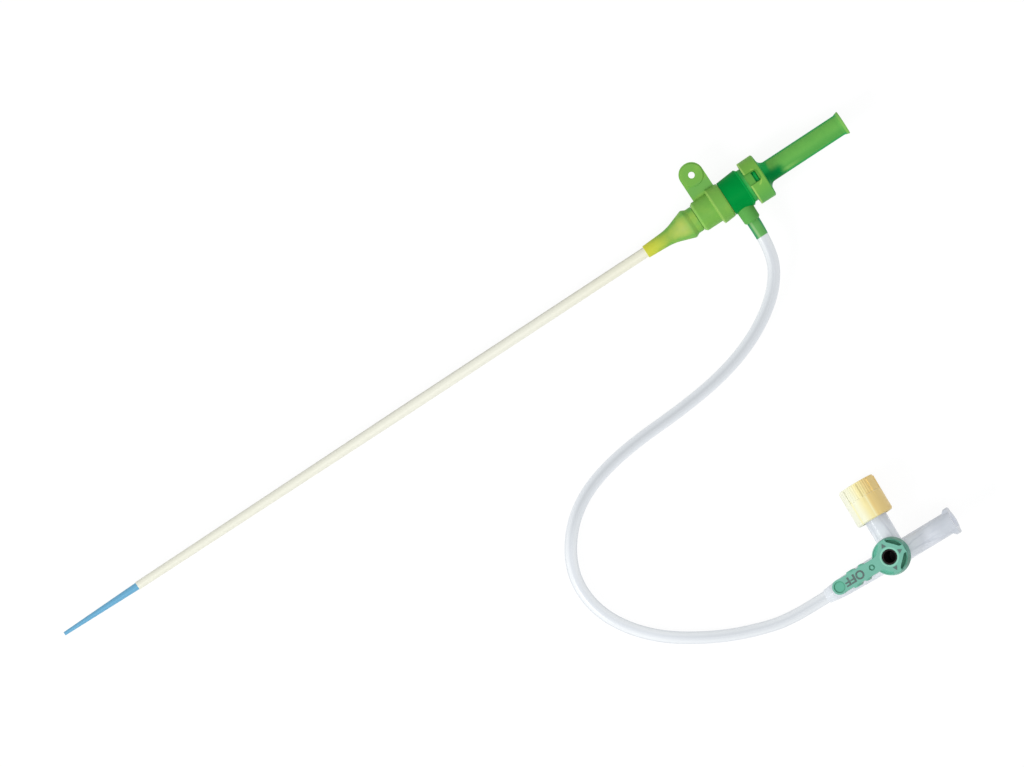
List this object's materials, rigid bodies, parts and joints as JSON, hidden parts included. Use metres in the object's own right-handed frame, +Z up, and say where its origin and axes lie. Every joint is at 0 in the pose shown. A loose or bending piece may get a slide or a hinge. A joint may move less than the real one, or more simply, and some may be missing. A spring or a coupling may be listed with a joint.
{
  "type": "guiding catheter introducer sheath",
  "caption": "Introducer sheath for a guiding catheter, with its tapered dilator in place, a valve hub with a suture collar, and a clear side tube with a stopcock.",
  "frame": {"origin": "middle of the base of the sheath, hub and dilator, without the side tube and what hangs on it", "axes": "+X along the sheath from the tip to the hub's Luer end, +Y to the suture eyelet, +Z up"},
  "size_m": [0.2506, 0.1238, 0.0181],
  "materials": {
    "ivory": "satin",
    "lime_soft": "satin",
    "lime": "satin",
    "green": "gloss",
    "cap_green": "gloss",
    "silicone": "satin",
    "blue": "satin",
    "clear_tube": "gloss",
    "clear_body": "gloss",
    "core": "gloss",
    "teal": "satin",
    "cream": "satin"
  },
  "bodies": {
    "hub": {"sheath_tube": "ivory", "strain_relief": "lime_soft", "valve_housing": "green", "valve_disc": "silicone", "valve_cap": "cap_green", "side_tube": "clear_tube", "stopcock_body": "clear_body"},
    "collar": {"suture_collar": "lime"},
    "dilator": {"dilator_tube": "blue", "dilator_hub": "lime"},
    "tap": {"stopcock_plug": "core", "stopcock_handle": "teal"},
    "port_cap": {"luer_cap": "cream"}
  },
  "joints": [
    {"name": "collar_turn", "type": "hinge", "parent": "hub", "child": "collar", "pos_m": [0.08297, -0.00017, 0.0064], "axis": [1, 0, 0], "continuous": true},
    {"name": "dilator_slide", "type": "slide", "parent": "hub", "child": "dilator", "axis": [1, 0, 0], "range_m": [0, 0.232]},
    {"name": "tap_turn", "type": "hinge", "parent": "hub", "child": "tap", "pos_m": [0.07359, -0.10518, 0.00743], "axis": [-0.2317, 0.0753, 0.9699], "continuous": true},
    {"name": "cap_pull", "type": "slide", "parent": "hub", "child": "port_cap", "axis": [0.0462, 0.9967, -0.0663], "range_m": [0, 0.012]}
  ]
}
